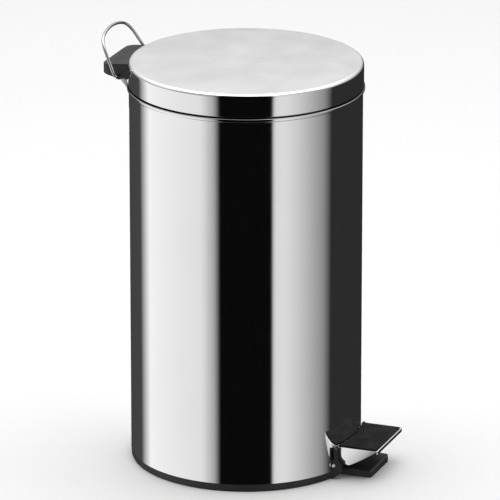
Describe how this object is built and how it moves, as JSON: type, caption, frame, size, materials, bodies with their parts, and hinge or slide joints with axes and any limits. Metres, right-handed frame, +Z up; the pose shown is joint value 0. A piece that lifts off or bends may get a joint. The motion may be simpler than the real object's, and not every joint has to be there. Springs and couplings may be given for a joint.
{
  "type": "pedal bin",
  "caption": "Round stainless pedal bin with a hinged lid lifted by a pedal, lever and push rod, an inner bucket and a wire carrying handle.",
  "frame": {"origin": "on the floor, on the axis of the round body", "axes": "+Z up, -Y towards the pedal, +Y towards the lid's hinge"},
  "size_m": [0.2848, 0.361, 0.5245],
  "materials": {
    "polished_steel": "mirror polished",
    "lid_steel": "fine satin top, polished skirt",
    "pedal_steel": "bright chrome",
    "wire_steel": "bright wire",
    "plain_steel": "zinc plated",
    "base_plastic": "moulded matt black",
    "cover_plastic": "fine grained black",
    "bucket_plastic": "smooth dark grey",
    "bush_plastic": "smooth black",
    "pad_rubber": "matt",
    "tread_rubber": "matt black"
  },
  "bodies": {
    "bin": {"body_shell": "polished_steel", "floor_plate": "plain_steel", "base_ring": "base_plastic", "floor_pads": "pad_rubber", "base_screws": "plain_steel", "hinge_bracket": "plain_steel", "bracket_rivets": "plain_steel", "rod_guide": "plain_steel", "pedal_pin": "plain_steel", "pin_clips": "plain_steel", "bucket": "bucket_plastic"},
    "lid": {"lid_shell": "lid_steel", "hinge_cover": "cover_plastic", "lid_crank": "plain_steel", "crank_rivets": "plain_steel"},
    "pedal": {"pedal_plate": "pedal_steel", "pedal_pad": "tread_rubber", "pedal_lever": "plain_steel", "lever_rivets": "plain_steel", "pivot_bushes": "bush_plastic"},
    "push_rod": {"push_rod": "wire_steel", "rod_clips": "plain_steel"},
    "carry_handle": {"carry_handle": "wire_steel"},
    "bucket_handle": {"bucket_handle": "wire_steel"}
  },
  "joints": [
    {"name": "lid_hinge", "type": "hinge", "parent": "bin", "child": "lid", "pos_m": [0, 0.147, 0.4755], "axis": [-1, 0, 0], "range_deg": [0, 61]},
    {"name": "pedal_pivot", "type": "hinge", "parent": "bin", "child": "pedal", "pos_m": [0, -0.1325, 0.017], "axis": [1, 0, 0], "range_deg": [0, 6.95]},
    {"name": "push_rod_slide", "type": "slide", "parent": "bin", "child": "push_rod", "axis": [0, 0, 1], "range_m": [0, 0.0307]},
    {"name": "carry_handle_swing", "type": "hinge", "parent": "bin", "child": "carry_handle", "pos_m": [0, 0.147, 0.4755], "axis": [-1, 0, 0], "range_deg": [0, 150]},
    {"name": "bucket_handle_swing", "type": "hinge", "parent": "bin", "child": "bucket_handle", "pos_m": [0, 0, 0.4654], "axis": [-1, 0, 0], "range_deg": [0, 10]}
  ],
  "couplings": [
    {"joint": "pedal_pivot", "follows": "lid_hinge", "ratio": 0.11377},
    {"joint": "push_rod_slide", "follows": "lid_hinge", "m_per_rad": 0.02877}
  ]
}
